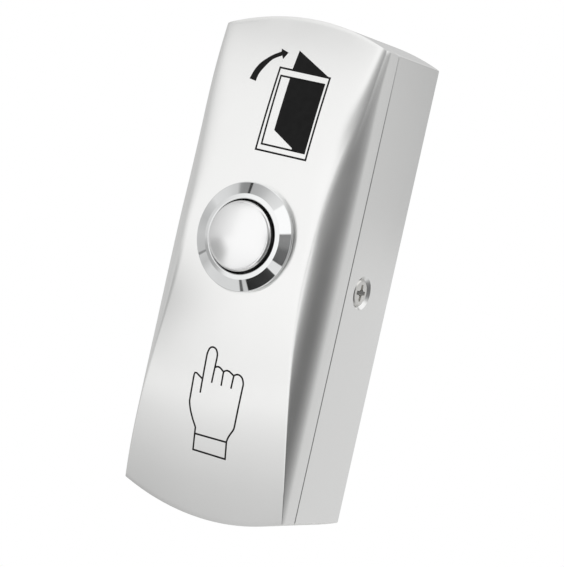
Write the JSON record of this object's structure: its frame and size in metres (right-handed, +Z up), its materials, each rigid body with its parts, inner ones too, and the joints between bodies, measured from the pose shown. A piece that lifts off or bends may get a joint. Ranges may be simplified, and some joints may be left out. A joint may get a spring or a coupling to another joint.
{
  "type": "door exit button",
  "caption": "Narrow wall-mounted door exit button: bowed die-cast metal cover screwed on a back box, with a domed metal push switch that springs back and closes a contact.",
  "frame": {"origin": "centre of the flat wall face of the back box", "axes": "+Z up along the length, +X to the right seen from the front, +Y into the wall; the button faces -Y"},
  "size_m": [0.03, 0.0254, 0.08],
  "materials": {
    "satin_zinc": "satin",
    "polished_chrome": "polished",
    "satin_steel": "satin",
    "chrome_steel": "polished",
    "plated_steel": "satin",
    "spring_steel": "bright drawn wire",
    "contact_brass": "bright",
    "black_plastic": "matte",
    "black_rubber": "matte"
  },
  "bodies": {
    "case": {"front_cover": "satin_zinc", "back_box": "satin_zinc", "side_screw_left": "chrome_steel", "side_screw_right": "chrome_steel", "switch_housing": "polished_chrome", "bezel_seal": "black_rubber", "lock_washer": "plated_steel", "panel_nut": "plated_steel", "return_spring": "spring_steel", "switch_base": "black_plastic", "fixed_contact_left": "contact_brass", "wire_clamp_left": "plated_steel", "terminal_screw_left": "plated_steel", "fixed_contact_right": "contact_brass", "wire_clamp_right": "plated_steel", "terminal_screw_right": "plated_steel"},
    "button": {"push_button": "satin_steel", "button_seal": "black_rubber", "retaining_clip": "spring_steel", "plunger": "black_plastic", "contact_bridge": "contact_brass"}
  },
  "joints": [
    {"name": "button_press", "type": "slide", "parent": "case", "child": "button", "axis": [0, 1, 0], "range_m": [0, 0.0018], "stiffness_N_per_m": 1200, "springref_m": -0.0015, "deforming": ["return_spring"]}
  ]
}
